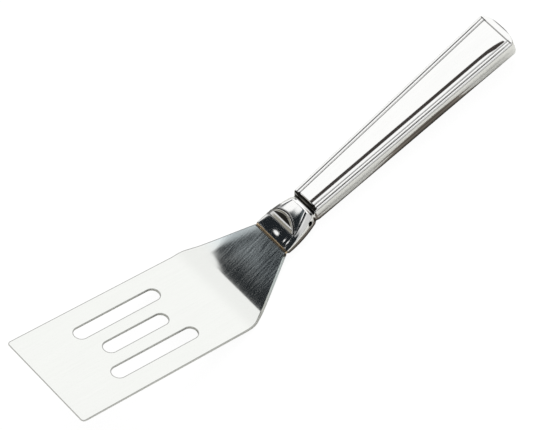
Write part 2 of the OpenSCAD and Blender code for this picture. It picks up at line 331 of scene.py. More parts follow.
@dataclass(frozen=True)
class MetalFinish:
    """A polished metal with fine polishing lines, scratches, a faint unevenness and painted shade where its
    attribute says.
    """

    name: str
    colour: tuple[float, float, float] = (0.95, 0.95, 0.94)
    shade: tuple[float, float, float] = (0.92, 0.92, 0.91)
    # painted shade: the dark colour that the shade attribute blends in
    painted_shade_colour: tuple[float, float, float] = (0.03, 0.028, 0.025)
    rough: tuple[float, float] = (0.03, 0.07)
    streak_rough: float = 0.0
    dull_x: tuple[float, float] = (1.0, 2.0)
    # painted reflection: a bluish tint for the cool haze mirrored on the dulled root
    dull_reflection_tint: tuple[float, float, float] = (0.76, 0.835, 0.855)
    line_stretch: tuple[float, float, float] = (50.0, 1900.0, 50.0)
    cross_stretch: tuple[float, float, float] = (90.0, 1500.0, 90.0)
    cloud_stretch: tuple[float, float, float] = (45.0, 70.0, 45.0)
    scratch_stretch: tuple[float, float, float] = (240.0, 5200.0, 240.0)
    line_bump: float = 0.02
    wave_bump: float = 0.1

    def build(self) -> bpy.types.Material:
        """Builds the material.

        Returns:
            The material, with its lines along the object's length.
        """
        material = bpy.data.materials.new(self.name)
        material.use_nodes = True
        graph = Graph(material.node_tree)
        coords = graph.add("ShaderNodeTexCoord").outputs["Object"]
        painted_shade = graph.value("ShaderNodeAttribute", "Fac", {"attribute_name": PAINTED_SHADE})
        lines = graph.noise(coords, self.line_stretch, (0, 0, 0))
        cross = graph.noise(coords, self.cross_stretch, (0, 0, 17), detail=2.0)
        cloud = graph.noise(coords, self.cloud_stretch, (0, 0, 20), detail=2.0)
        scratch = graph.noise(coords, self.scratch_stretch, (0, 0, 24), detail=1.0).step(0.66, 0.74)
        unevenness = (lines - 0.5) * 1.4 + (cloud - 0.5) * 0.8
        polish = mix(*self.rough, 0.5) + (self.rough[1] - self.rough[0]) * unevenness
        streaks = (lines * 0.4 + cross * 0.25 + cloud * 0.35).step(0.2, 0.8)
        place = graph.add("ShaderNodeSeparateXYZ", None, {0: coords})
        dull = Value(graph, place.outputs["X"]).step(*self.dull_x)
        roughness = polish + streaks * (0.25 + 0.75 * dull) * self.streak_rough + painted_shade * 0.3
        clean = graph.blend((lines * 0.7 + cloud * 0.3).step(0.3, 0.7), (*self.shade, 1), (*self.colour, 1))
        # painted reflection: the dulled root takes a bluish tint
        hazy = graph.blend(dull, clean, (*self.dull_reflection_tint, 1))
        # painted shade: the base colour darkens where the shade attribute is high
        base = graph.blend(painted_shade, hazy, (*self.painted_shade_colour, 1))
        height = lines * self.line_bump + cloud * self.wave_bump - scratch * self.line_bump
        bump = graph.add("ShaderNodeBump", None,
                         {"Height": height, "Distance": 0.01 * MM, "Strength": 1.0})
        shader = graph.add("ShaderNodeBsdfPrincipled", None,
                           {"Base Color": base, "Metallic": 1.0, "Roughness": roughness,
                            "Normal": bump.outputs[0]})
        graph.add("ShaderNodeOutputMaterial", None, {"Surface": shader.outputs[0]})
        return material


@dataclass(frozen=True)
class Blade:
    """The slotted blade with its heel bend, its root and its tang.

    The blade is cut flat and then bent: s runs along the upper face of the flat blank.
    """

    front_w: float = 51.0
    heel_w: float = 49.6
    length: float = 90.2
    front_t: float = 0.8
    heel_t: float = 1.1
    edge_t: float = 0.4
    bevel_l: float = 2.5
    front_r: float = 1.5
    shoulder_r: float = 9.0
    slot_w: float = 6.6
    slot_pitch: float = 12.7
    long_slot: float = 43.6
    short_slot: float = 32.6
    slot_mid: float = 47.0
    rise: float = 30.0
    bend_r: float = 22.0
    shoulder_l: float = 26.1
    root_w: float = 19.4
    root_t: float = 2.6
    thicken_l: float = 6.0
    tang_w: float = 9.0
    tang_t: float = 1.8
    tang_l: float = 18.0
    rim_r: float = 0.2
    roll_depth: float = 0.3
    roll_l: float = 4.8
    roll_end: float = 0.3
    settle_depth: float = 0.063
    settle_l: float = 3.0
    dip_depth: float = 0.25
    dip_run: tuple[float, float] = (5.0, 7.0)
    dip_side: tuple[float, float] = (2.0, 20.0)
    far_roll: float = 0.2
    # painted shade: how dark the cut edges and the narrow strip along every edge of the blank are painted
    edge_shade: float = 1.0
    line_w: float = 0.35
    line_shade: float = 0.6
    arc_steps: int = 12
    bend_steps: int = 40

    @property
    def turn(self) -> float:
        """The rise of the root in radians."""
        return math.radians(self.rise)

    @property
    def bend_x(self) -> float:
        """Where the heel bend starts."""
        return self.length - self.bend_r * math.tan(self.turn / 2)

    @property
    def bend_l(self) -> float:
        """The length of the heel bend along the upper face."""
        return self.bend_r * self.turn

    @property
    def bend_end(self) -> float:
        """Where the heel bend ends."""
        return self.bend_x + self.bend_l

    @property
    def shoulder_s(self) -> float:
        """Where the shoulders start to slope, in the middle of the bend."""
        return self.bend_x + self.bend_l / 2

    @property
    def taper(self) -> float:
        """How much each shoulder comes in for each millimetre of length."""
        return (self.heel_w - self.root_w) / 2 / (self.root_s - self.shoulder_s)

    @property
    def root_s(self) -> float:
        """The length of the blank up to the mouth bead."""
        return self.bend_end + self.shoulder_l / math.cos(self.turn) - self.bend_r * math.tan(self.turn / 2)

    def thickness(self, s: float) -> float:
        """Finds the thickness of the steel.

        Args:
            s: The distance from the front edge along the upper face.

        Returns:
            The thickness in millimetres.
        """
        if s < self.bevel_l:
            return mix(self.edge_t, self.front_t, share(s, 0, self.bevel_l))
        if s < self.bend_x:
            return mix(self.front_t, self.heel_t, share(s, self.bevel_l, self.bend_x))
        end = self.bend_end + self.thicken_l
        return mix(self.heel_t, self.root_t, ease(share(s, self.bend_x, end)))

    def _worn(self, s: float, across: float) -> float:
        """Finds how far polishing has lowered the upper face of the root.

        Args:
            s: The distance from the front edge along the upper face.
            across: The distance from the middle.

        Returns:
            The depth in millimetres.
        """
        start, end = self.bend_end, self.root_s
        settled = self.settle_depth * two_arcs(share(s, start - self.settle_l, start + self.settle_l))
        dip_end = start + self.dip_run[1]
        fallen = two_arcs(share(s, start - self.dip_run[0], dip_end)) * (1 - ease(share(s, dip_end, end)))
        settled += self.dip_depth * fallen * ease(share(across, *self.dip_side))
        half = self.heel_w / 2 - self.taper * max(0.0, s - self.shoulder_s)
        inside = (half - abs(across)) / math.hypot(1, self.taper)
        if across > 0:
            rolled = ease(share(s, start - 1.5, start + 1))
        else:
            rolled = self.far_roll * ease(share(s, start, end))
        rolled *= mix(1, self.roll_end, share(s, start, end))
        return settled + rolled * self.roll_depth * (1 - share(inside, 0, self.roll_l)) ** 2

    def bent(self, s: float, across: float, depth: float) -> Vector:
        """Puts a point of the flat blank on the bent blade.

        Args:
            s: The distance from the front edge along the upper face.
            across: The distance from the middle.
            depth: How deep the point lies, as a share of the thickness.

        Returns:
            The point in millimetres.
        """
        angle = self.turn * share(s, self.bend_x, self.bend_end)
        past = max(0.0, s - self.bend_x - self.bend_l)
        reach = self.bend_r * math.sin(angle) + past * math.cos(self.turn)
        lift = self.bend_r * (1 - math.cos(angle)) + past * math.sin(self.turn)
        inside = depth * self.thickness(s) + (1 - depth) * self._worn(s, across)
        flat = min(s, self.bend_x)
        return Vector((flat + reach + inside * math.sin(angle), across, lift - inside * math.cos(angle)))

    @property
    def mouth(self) -> Vector:
        """The middle of the end of the root, at half its thickness."""
        return self.bent(self.root_s, 0, 0.5)

    def _outline(self, bm: bmesh.types.BMesh) -> None:
        """Adds the flat outline with its rounded corners.

        Args:
            bm: The blank.
        """
        half = [(0.0, self.front_w / 2), (self.shoulder_s, self.heel_w / 2), (self.root_s, self.root_w / 2)]
        ring = half + [(x, -y) for x, y in half[::-1]]
        corners = [bm.verts.new((x, y, 0)) for x, y in ring]
        bm.faces.new(corners)
        self._round(bm, [corners[0], corners[5]], self.front_r)
        self._round(bm, [corners[1], corners[4]], self.shoulder_r)

    def _round(self, bm: bmesh.types.BMesh, corners: list[bmesh.types.BMVert], radius: float) -> None:
        """Rounds two like corners of the outline.

        Args:
            bm: The blank.
            corners: The two corners.
            radius: The radius that they get.
        """
        first, second = (edge.other_vert(corners[0]).co - corners[0].co for edge in corners[0].link_edges)
        offset = radius / math.tan(first.angle(second) / 2)
        bmesh.ops.bevel(bm, geom=corners, offset=offset, offset_type="OFFSET", segments=self.arc_steps,
                        profile=0.5, affect="VERTICES", material=-1)

    def _slot(self, bm: bmesh.types.BMesh, across: float, length: float) -> None:
        """Adds the edge loop of one slot.

        Args:
            bm: The blank.
            across: The distance of the slot from the middle.
            length: The length of the slot.
        """
        segments = 4 * self.arc_steps
        turn = Matrix.Rotation(math.pi / segments, 4, "Z")
        ring = bmesh.ops.create_circle(bm, segments=segments, radius=self.slot_w / 2, matrix=turn)["verts"]
        half = (length - self.slot_w) / 2
        for vert in ring:
            vert.co += Vector((self.slot_mid + math.copysign(half, vert.co.x), across, 0))

    def _fill_blank(self, bm: bmesh.types.BMesh) -> None:
        """Fills the blank between its outline and its slots, with a narrow strip of painted shade along
        every edge.

        Args:
            bm: The blank, with its outline and its slots.
        """
        bmesh.ops.delete(bm, geom=bm.faces[:], context="FACES_ONLY")
        bmesh.ops.triangle_fill(bm, use_beauty=True, edges=bm.edges[:], normal=(0, 0, 1))
        layer = bm.faces.layers.float.new(PAINTED_SHADE)
        strip = bmesh.ops.inset_region(bm, faces=bm.faces[:], thickness=self.line_w, use_boundary=True,
                                       use_even_offset=True)["faces"]
        # painted shade along every edge of the blank
        for face in strip:
            face[layer] = self.line_shade if face.calc_center_median().x < self.root_s - 1 else 0.0

    def _blank(self) -> bmesh.types.BMesh:
        """Cuts the flat blank, one unit thick.

        Returns:
            The blank, with the rows of vertices that its bend and its wear need.
        """
        bm = bmesh.new()
        self._outline(bm)
        for side, length in ((1, self.long_slot), (0, self.short_slot), (-1, self.long_slot)):
            self._slot(bm, side * self.slot_pitch, length)
        self._fill_blank(bm)
        thick_end = self.bend_end + self.thicken_l
        for s in ([self.bevel_l] + spread(self.bend_x, self.bend_end, self.bend_steps)
                  + spread(self.bend_end, thick_end, 16)[1:] + spread(thick_end, self.root_s, 20)[1:-1]):
            bmesh.ops.bisect_plane(bm, geom=bm.verts[:] + bm.edges[:] + bm.faces[:], dist=1e-6,
                                   plane_co=(s, 0, 0), plane_no=(1, 0, 0))
        for across in spread(-self.heel_w / 2, self.heel_w / 2, 64)[1:-1]:
            root = [f for f in bm.faces if f.calc_center_median().x > self.bend_x]
            near = dict.fromkeys(part for face in root for part in (*face.verts, *face.edges, face))
            bmesh.ops.bisect_plane(bm, geom=list(near), dist=1e-6, plane_co=(0, across, 0),
                                   plane_no=(0, 1, 0))
        under = bmesh.ops.extrude_face_region(bm, geom=bm.faces[:])["geom"]
        lower = [part for part in under if isinstance(part, bmesh.types.BMVert)]
        bmesh.ops.translate(bm, vec=(0, 0, -1), verts=lower)
        bmesh.ops.recalc_face_normals(bm, faces=bm.faces)
        return bm

    def _add_tang(self, bm: bmesh.types.BMesh) -> None:
        """Draws the tang out of the end of the root.

        Args:
            bm: The blank, one unit thick.
        """
        ends = [f for f in bm.faces if all(v.co.x > self.root_s - 1e-4 for v in f.verts)]
        end = bmesh.ops.dissolve_faces(bm, faces=ends)["region"][0]
        centre = Vector((self.root_s, 0, -0.5))
        narrow = (1, self.tang_w / self.root_w, self.tang_t / self.root_t)
        shoulder = bmesh.ops.extrude_discrete_faces(bm, faces=[end])["faces"][0]
        bmesh.ops.scale(bm, vec=narrow, space=Matrix.Translation(-centre), verts=shoulder.verts)
        tip = bmesh.ops.extrude_discrete_faces(bm, faces=[shoulder])["faces"][0]
        bmesh.ops.translate(bm, vec=(self.tang_l, 0, 0), verts=tip.verts)

    def _shade_edges(self, bm: bmesh.types.BMesh) -> None:
        """Paints shade on the cut edges and on the seam end of the root.

        Args:
            bm: The bent blade with its rounded rims.
        """
        layer = bm.faces.layers.float[PAINTED_SHADE]
        root_start = self.bent(self.bend_end, 0, 0)
        for face in bm.faces:
            angle = self.turn * share(face.calc_center_median().x, self.bend_x, self.bend_end)
            normal = Vector((-math.sin(angle), 0, math.cos(angle)))
            upright = abs(face.normal.dot(normal))
            # painted shade on the cut edges
            if upright < 0.97:
                face[layer] = self.edge_shade * mix(0.2, 1, share(upright, 0.05, 0.15))
            if angle < self.turn:
                continue
            away = face.calc_center_median() - root_start
            s = self.bend_end + away.dot(Vector((math.cos(angle), 0, math.sin(angle))))
            if away.y < 0:
                face[layer] *= share(-away.dot(normal) / self.thickness(s), 0.7, 0.9)
            # painted shade where the root meets the bead
            if s > self.root_s - self.line_w:
                face[layer] = 1.0

    def build(self, lay: Lay) -> bpy.types.Object:
        """Builds the blade.

        Args:
            lay: How the blade lies.

        Returns:
            The blade, with its rims rounded.
        """
        bm = self._blank()
        self._add_tang(bm)
        for vert in bm.verts:
            vert.co = self.bent(vert.co.x, vert.co.y, -vert.co.z)
        bm.normal_update()
        rims = [e for e in bm.edges if len(e.link_faces) == 2 and e.calc_face_angle() > math.radians(50)]
        bmesh.ops.bevel(bm, geom=rims, offset=self.rim_r, offset_type="OFFSET", segments=4, profile=0.5,
                        affect="EDGES", clamp_overlap=True, material=-1)
        bm.normal_update()
        self._shade_edges(bm)
        piece = make_piece("polished_blade", bm, lay, sharp_deg=40)
        weighted = piece.modifiers.new("even_normals", "WEIGHTED_NORMAL")
        weighted.mode = "FACE_AREA"
        weighted.keep_sharp = True
        return piece


@dataclass(frozen=True)
class HandleForm:
    """The outer form of the hollow handle, from its mouth to its butt.

    Places on it are given by u, the distance along the spine from the mouth, and by t, which
    runs over the half section from the seam at 0 over SIDE_T and EDGE_T to the middle of the
    face at T_END. From EDGE_T on, the distance from the edge of the face is called d.
    """

    mouth: Vector
    root_rise: float = 30.0
    handle_rise: float = 25.0
    neck_l: float = 20.0
    handle_l: float = 111.0
    cove_l: float = 3.2
    cove_depth: float = 0.55
    back_dip: float = 0.1
    width: tuple[float, float, float, float] = (20.2, 15.0, 14.6, 20.6)
    front: tuple[float, float, float, float] = (2.3, 4.3, 4.2, 4.2)
    back: tuple[float, float, float, float] = (2.3, 5.7, 5.6, 6.8)
    width_bow: float = 2.2
    front_bow: float = 1.7
    back_bow: float = 0.45
    butt_bow: float = 3.0
    butt_round: float = 3.6
    butt_power: float = 2.2
    edge_r: float = 0.6
    back_edge_r: float = 2.0
    side_bulge: float = 0.15
    outer_groove: float = 1.35
    inner_groove: float = 2.75
    groove_depth: float = 0.35
    groove_reach: float = 0.32
    panel_crown: float = 0.35
    crown_run: float = 3.4
    start_run: float = 0.9
    end_run: float = 12.0
    neck_power: float = 4.0
    collar_power: float = 3.0
    face_crown: float = 0.1
    back_power: float = 3.4
    mark_w: float = 17.8
    mark_l: float = 4.7
    mark_side: float = 2.0
    mark_start: float = 6.3
    mark_bar: float = 1.7
    mark_rim: float = 0.9
    mark_h: float = 0.2
    mark_fall: float = 0.2
    # painted shade: how dark the face is painted at its edge, in the grooves, at the butt, round the D, at
    # the mouth and on the neck's side
    shade_edge: float = 0.4
    shade_outer: float = 0.95
    shade_inner: float = 0.5
    shade_end: float = 0.7
    shade_butt: float = 0.9
    shade_rim: float = 0.3
    shade_front: float = 0.8
    shade_side: float = 0.85
    shade_mouth_l: float = 0.25
    shade_side_in: tuple[float, float] = (2.6, 1.4)
    shade_side_u: tuple[float, float, float, float] = (5.0, 5.6, 11.6, 12.6)
    # painted highlight: a thin light line kept in the cove's painted shade
    gleam: float = 0.4
    vent_d: float = 2.2
    vent_start: float = 15.0
    vent_up: float = 0.8

    @property
    def length(self) -> float:
        """The length of the spine."""
        return self.neck_l + self.handle_l

    @property
    def collar_u(self) -> float:
        """Where the collar lies."""
        return self.neck_l - self.cove_l

    @property
    def cove_u(self) -> float:
        """Where the cove is deepest."""
        return self.neck_l - self.cove_l / 2

    @property
    def panel(self) -> tuple[float, float]:
        """Where the panel starts and ends."""
        return self.neck_l + self.groove_reach, self.length - self.butt_bow

    @property
    def border_d(self) -> tuple[float, ...]:
        """The distances from the edge at EDGE_T and at each whole t after it."""
        reach = self.groove_reach / 2
        return (self.edge_r, (self.edge_r + self.outer_groove) / 2,
                self.outer_groove - reach, self.outer_groove, self.outer_groove + reach,
                (self.outer_groove + self.inner_groove) / 2,
                self.inner_groove - reach, self.inner_groove, self.inner_groove + reach)

    def slope(self, u: float) -> float:
        """Returns the slope of the spine at u in radians."""
        return math.radians(mix(self.root_rise, self.handle_rise, share(u, 0, self.neck_l)))

    def spine(self, u: float) -> Vector:
        """Finds a point of the spine, which turns along the neck and is straight after it.

        Args:
            u: The distance along the spine from the mouth.

        Returns:
            The point in millimetres.
        """
        start, here = self.slope(0), self.slope(u)
        radius = self.neck_l / math.radians(self.root_rise - self.handle_rise)
        arc = Vector((math.sin(start) - math.sin(here), 0, math.cos(here) - math.cos(start)))
        before = min(0.0, u) * Vector((math.cos(start), 0, math.sin(start)))
        after = max(0.0, u - self.neck_l) * Vector((math.cos(here), 0, math.sin(here)))
        return self.mouth + radius * arc + before + after

    def place(self, u: float, across: float, up: float) -> Vector:
        """Returns a point given by u, its distance from the middle and its height above the seam."""
        slope = self.slope(u)
        return self.spine(u) + Vector((-up * math.sin(slope), across, up * math.cos(slope)))

    def _run(self, u: float, sizes: Sequence[float], bow: float, dip: float) -> float:
        """Finds a size that runs from mouth to collar, dips in the cove and grows to the butt.

        Args:
            u: The distance along the spine.
            sizes: The size at the mouth, the collar, the start of the panel and the butt.
            bow: The power of its run along the neck.
            dip: How much smaller it is in the cove.

        Returns:
            The size in millimetres.
        """
        mouth, collar, shoulder, butt = sizes
        low = min(collar, shoulder) - dip
        if u < self.collar_u:
            return mix(mouth, collar, share(u, 0, self.collar_u) ** bow)
        if u < self.cove_u:
            return mix(collar, low, ease(share(u, self.collar_u, self.cove_u)))
        if u < self.neck_l:
            return mix(low, shoulder, ease(share(u, self.cove_u, self.neck_l)))
        return mix(shoulder, butt, share(u, self.neck_l, self.panel[1]))

    def half_width(self, u: float) -> float:
        """Finds half the width, which closes in an even round at the butt.

        Args:
            u: The distance along the spine.

        Returns:
            The distance from the middle to the seam.
        """
        inward = share(u, self.length - self.butt_round, self.length) ** self.butt_power
        close = max(0.0, 1 - inward) ** (1 / self.butt_power)
        return close * self._run(u, [w / 2 for w in self.width], self.width_bow, self.cove_depth)

    def _drop(self, u: float, radius: float) -> float:
        """Returns how far a face has rounded over at the butt."""
        return radius - math.sqrt(max(0.0, radius ** 2 - max(0.0, u - self.length + radius) ** 2))

    def front_height(self, u: float) -> float:
        """Returns the height of the front face above the seam."""
        return self._run(u, self.front, self.front_bow, self.cove_depth) - self._drop(u, self.edge_r)

    def back_height(self, u: float) -> float:
        """Returns the depth of the back face below the seam."""
        return self._run(u, self.back, self.back_bow, self.back_dip) - self._drop(u, self.back_edge_r)

    def _in_groove(self, away: float) -> float:
        """Returns how deep in a groove a place is, from 0 to 1, by its distance from the middle of it."""
        reach = self.groove_reach
        return (1 + math.cos(math.pi * away / reach)) / 2 if abs(away) < reach else 0.0

    def _relief(self, d: float, u: float) -> float:
        """Finds the height of the framed panel over the plain face.

        Args:
            d: The distance from the edge of the face.
            u: The distance along the spine.

        Returns:
            The height, below 0 in a groove.
        """
        start, end = self.panel
        if u < self.neck_l:
            return 0.0
        if u > end:
            return -self.groove_depth * self._in_groove(u - end)
        if d < self.inner_groove:
            grooves = self._in_groove(d - self.outer_groove) + self._in_groove(d - self.inner_groove)
            return -self.groove_depth * grooves
        rise = self.panel_crown
        for away, run in ((d - self.inner_groove, self.crown_run), (u - start, self.start_run),
                          (end - u, self.end_run)):
            rise *= 1 - (1 - share(away, 0, run)) ** 2
        return rise - self.groove_depth * self._in_groove(min(d - self.inner_groove, u - start, end - u))

    @property
    def mark_r(self) -> float:
        """The radius of the arc of the raised D on the neck."""
        return (self.mark_w ** 2 / 4 + self.mark_l ** 2) / (2 * self.mark_l)

    def _past_arc(self, u: float, across: float) -> float:
        """Returns how far a place on the neck lies outside the arc of the D."""
        middle_u = self.mark_start + self.mark_l - self.mark_r
        return math.hypot(u - middle_u, across - self.mark_side) - self.mark_r

    def _ridge(self, away: float, width: float) -> float:
        """Returns the height of a rim of the D at a distance into its width; the mouth's side is long."""
        top = 0.7 * width
        return self.mark_h * min(share(away, 0, top), 1 - share(away, top, width))

    def _mark(self, u: float, across: float) -> float:
        """Finds the height of the raised D.

        Args:
            u: The distance along the spine.
            across: The distance from the middle of the neck.

        Returns:
            The height over the plain face.
        """
        outward = self._past_arc(u, across)
        if outward > 0 or u < self.mark_start:
            return 0.0
        bar = self._ridge(u - self.mark_start, self.mark_bar)
        rim = self._ridge(outward + self.mark_rim, self.mark_rim)
        return max(bar, rim) * (1 - share(outward, -self.mark_fall, 0))

    def _mark_shade(self, u: float, across: float) -> float:
        """Finds how much painted shade sits on the neck: in and round the D, and along one edge.

        Args:
            u: The distance along the spine.
            across: The distance from the middle of the neck.

        Returns:
            The painted shade, from 0 to 1.
        """
        along = u - self.mark_start
        outward = self._past_arc(u, across)
        inward = min(along - self.mark_bar, -outward - self.mark_rim)
        on_rim = self.shade_rim * share(along, -0.1, 0.1) * (1 - share(outward, -0.3, 0))
        round_arc = band(outward, -0.2, 0, 0.4, 1) * share(along, 0, 0.3)
        front = self.shade_front * (1 - share(abs(along + 0.2), 0.15, 0.4)) * (1 - share(outward, -0.3, 0.2))
        edge = self.half_width(u)
        from_edge = share(edge - across, *self.shade_side_in)
        side = self.shade_side * from_edge * band(u, *self.shade_side_u)
        return max(on_rim, round_arc, front, side, ease(share(inward, -0.2, 0.2)))

    @staticmethod
    def _plain(t: float, w: float, h: float, power: float) -> tuple[float, float]:
        """Returns a point of a plain rounded half section."""
        angle = math.pi / 2 * t / T_END
        return w * max(0.0, math.cos(angle)) ** (2 / power), h * math.sin(angle) ** (2 / power)

    def _framed(self, u: float, t: float, w: float, h: float) -> tuple[float, float]:
        """Finds a point of the half section with its border and panel.

        Args:
            u: The distance along the spine.
            t: The place in the half section.
            w: Half the width there.
            h: The height of the face there.

        Returns:
            Its distance from the middle and its height above the seam.
        """
        if t < SIDE_T:
            bulge = self.side_bulge * math.sin(math.pi * t / SIDE_T)
            return w + bulge, (h - self.edge_r) * t / SIDE_T
        if t < EDGE_T:
            angle = math.pi / 2 * share(t, SIDE_T, EDGE_T)
            return w - self.edge_r * (1 - math.cos(angle)), h - self.edge_r * (1 - math.sin(angle))
        d = self._edge_distance(t, w)
        return w - d, h + self._relief(d, u)

    @property
    def border_t(self) -> float:
        """The place t where the border ends."""
        return EDGE_T + len(self.border_d) - 1

    def _edge_distance(self, t: float, w: float) -> float:
        """Finds the distance d of a place on the face from its edge.

        Args:
            t: The place in the half section, from EDGE_T on.
            w: Half the width there.

        Returns:
            The distance in millimetres.
        """
        marks = self.border_d
        if t >= self.border_t:
            return mix(marks[-1], w, share(t, self.border_t, T_END))
        i = int(t - EDGE_T)
        return mix(marks[i], marks[i + 1], t - EDGE_T - i)

    def shade_at(self, u: float, t: float) -> float:
        """Finds how much painted shade sits on the front face.

        Args:
            u: The distance along the spine.
            t: The place over the whole face, from 0 to 2 * T_END.

        Returns:
            The painted shade, from 0 to 1.
        """
        lower = share(t, 0, 2 * T_END) ** 2
        side, t = fold(t)
        # painted shade where the handle meets the bead
        if u < self.shade_mouth_l:
            return 1.0
        if u < self.collar_u:
            return self._mark_shade(u, side * self._plain(t, self.half_width(u), 1.0, self.neck_power)[0])
        # painted shade along the edge of the face and at the butt
        edge = max(self.shade_edge * (1 - share(abs(t - SIDE_T - 0.7), 0.2, 0.7)),
                   self.shade_butt * share(u, self.length - 0.7, self.length - 0.3))
        if t < EDGE_T:
            return edge if u > self.neck_l else 0.0
        if u < self.neck_l:
            # painted shade in the cove, with a thin painted highlight in it
            gleam = self.gleam * (1 - share(abs(u - self.neck_l + 0.6), 0.05, 0.25))
            return ease(share(u, self.cove_u - 0.6, self.cove_u + 0.2)) - gleam
        d = self._edge_distance(t, self.half_width(u))
        return max(self._groove_shade(u, d, lower), self._lip_shade(u, d, lower), edge)

    def _groove_shade(self, u: float, d: float, lower: float) -> float:
        """Finds how much painted shade sits in the grooves of the border.

        Args:
            u: The distance along the spine.
            d: The distance from the edge of the face.
            lower: How near the place is to the lower side, from 0 to 1.

        Returns:
            The painted shade, from 0 to 1.
        """
        start, end = self.panel
        outer = max(lower * (1 - share(abs(d - self.outer_groove), 0.12, 0.4)),
                    self.shade_outer * self._in_groove(d - self.outer_groove))
        inner = self.shade_inner * self._in_groove(d - self.inner_groove) * (1 - 0.5 * lower)
        first = self._in_groove(u - start) if d > self.inner_groove else 0.0
        last = self.shade_end * self._in_groove(end - u)
        return max(outer * (1 - share(u, end - 6, end)), inner if u < end else 0.0, first, last)

    def _lip_shade(self, u: float, d: float, lower: float) -> float:
        """Finds how much painted shade sits on the lip where the cove meets the panel.

        Args:
            u: The distance along the spine.
            d: The distance from the edge of the face.
            lower: How near the place is to the lower side, from 0 to 1.

        Returns:
            The painted shade, from 0 to 1.
        """
        corner = 1 - share(abs(d - self.inner_groove), 0, 1.4)
        lip_u = self.neck_l + 0.2 + 0.9 * lower + 0.8 * corner ** 2
        return 1 - share(u, lip_u, lip_u + 0.4)

    def front_point(self, u: float, t: float) -> Vector:
        """Finds a point of the front face.

        Args:
            u: The distance along the spine.
            t: The place over the whole face, from 0 to 2 * T_END.

        Returns:
            The point in millimetres.
        """
        side, t = fold(t)
        w, h = self.half_width(u), self.front_height(u)
        power = mix(self.neck_power, self.collar_power, share(u, self.mark_start, self.collar_u))
        across, up = self._plain(t, w, h, power)
        if w:
            up *= 1 - self.face_crown * (across / w) ** 2
        full_w = max(w, self.border_d[-1] + 1)
        framed_across, framed_up = self._framed(u, t, full_w, h)
        share_of = ease(share(u, self.cove_u, self.neck_l))
        across = side * mix(across, framed_across * w / full_w, share_of)
        up = mix(up, framed_up, share_of)
        if t > SIDE_T:
            up += self._mark(u, across)
        return self.place(u, across, up)

    def back_point(self, u: float, t: float) -> Vector:
        """Finds a point of the back face.

        Args:
            u: The distance along the spine.
            t: The place over the whole face, from 0 to 2 * T_END.

        Returns:
            The point in millimetres.
        """
        side, t = fold(t)
        power = mix(self.neck_power, self.back_power, ease(share(u, self.collar_u, self.neck_l)))
        across, up = self._plain(t, self.half_width(u), self.back_height(u), power)
        return self.place(u, side * across, -up)

    def inner_point(self, u: float, t: float, height: float, sign: int, sheet: float) -> Vector:
        """Finds a point of the plain inner wall.

        Args:
            u: The distance along the spine.
            t: The place in the section, from 0 to 2 * T_END.
            height: The height of the outer face at u.
            sign: 1 for the front half, -1 for the back half.
            sheet: The thickness of the sheet.

        Returns:
            The point in millimetres.
        """
        side, t = fold(t)
        across, up = self._plain(t, max(0.0, self.half_width(u) - sheet), height - sheet, self.back_power)
        return self.place(u, side * across, sign * up)


class Half(Enum):
    """The two halves of the handle, each with the name of its CAD node."""

    FRONT = "handle_front"
    BACK = "handle_back"


class Row(Enum):
    """The kinds of rows around a shell: at its mouth, along its wall and at its butt."""

    MOUTH = "mouth"
    WALL = "wall"
    BUTT = "butt"


class Wall(Enum):
    """The two walls of a shell."""

    OUTER = "outer"
    INNER = "inner"


